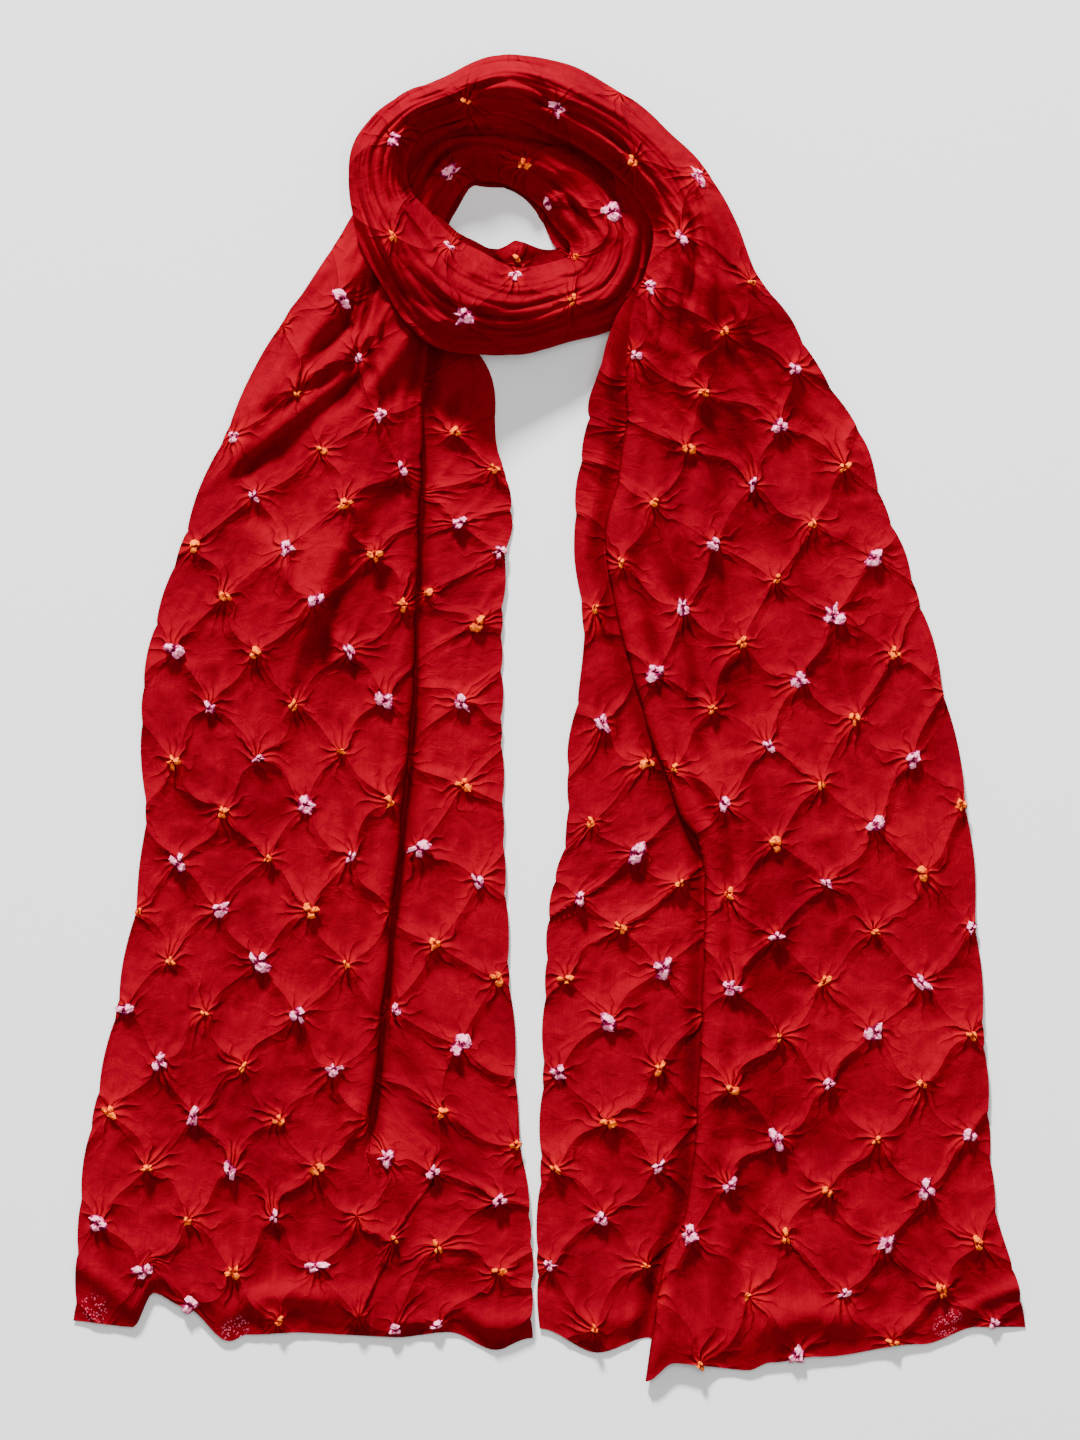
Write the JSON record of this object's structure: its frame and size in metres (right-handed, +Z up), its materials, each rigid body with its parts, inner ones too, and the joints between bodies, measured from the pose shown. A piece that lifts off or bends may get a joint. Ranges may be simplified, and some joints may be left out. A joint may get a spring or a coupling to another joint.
{
  "type": "bandhani scarf laid flat with a neck loop",
  "caption": "Long tie-dyed cotton scarf, pleated once lengthwise and wound into a neck loop, lying flat with its two ends side by side.",
  "frame": {"origin": "middle of the plan, on the surface that the scarf lies on", "axes": "+Z up from the surface, +Y from the hems towards the loop, +X to the right as seen from above"},
  "size_m": [0.6174, 0.855, 0.0473],
  "materials": {
    "dyed_cotton": "soft matt crinkled cotton, red with white, pink and orange tied points"
  },
  "bodies": {
    "root": {"bandhani_cloth": "dyed_cotton"}
  },
  "joints": []
}
